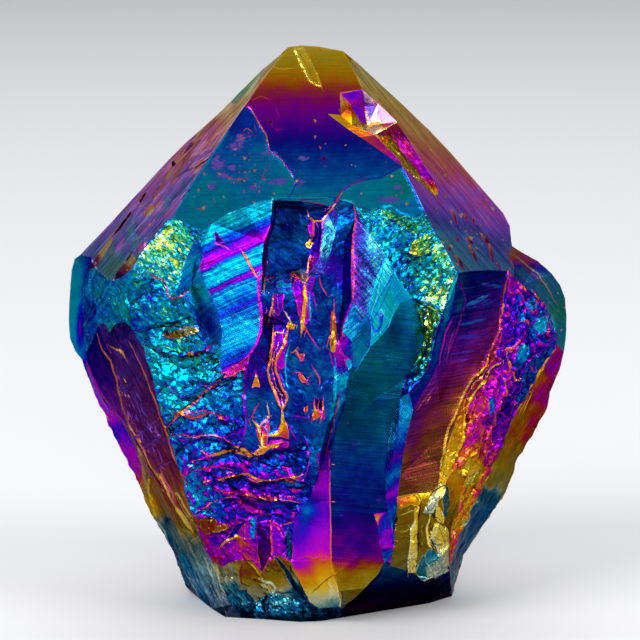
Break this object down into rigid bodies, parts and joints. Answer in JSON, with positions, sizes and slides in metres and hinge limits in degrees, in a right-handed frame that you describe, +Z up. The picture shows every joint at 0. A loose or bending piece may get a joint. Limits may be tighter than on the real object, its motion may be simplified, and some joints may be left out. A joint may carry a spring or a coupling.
{
  "type": "aura amethyst point",
  "caption": "Large natural quartz crystal point with a six-faced tip, etched and broken body, iridescent metallic film and a flat cut base; stands upright as a display piece.",
  "frame": {"origin": "on the cut base, below the top ridge's middle", "axes": "+Z up along the crystal from base to tip, -Y towards the front face (the large clean tip face), +X to the right seen from the front"},
  "size_m": [0.1066, 0.0736, 0.1184],
  "materials": {
    "aura_film": "glossy metallic titanium film on amethyst, opaque, with thin-film colours from gold through magenta, violet and blue to teal and yellow-green"
  },
  "bodies": {
    "root": {"amethyst_point": "aura_film"}
  },
  "joints": []
}
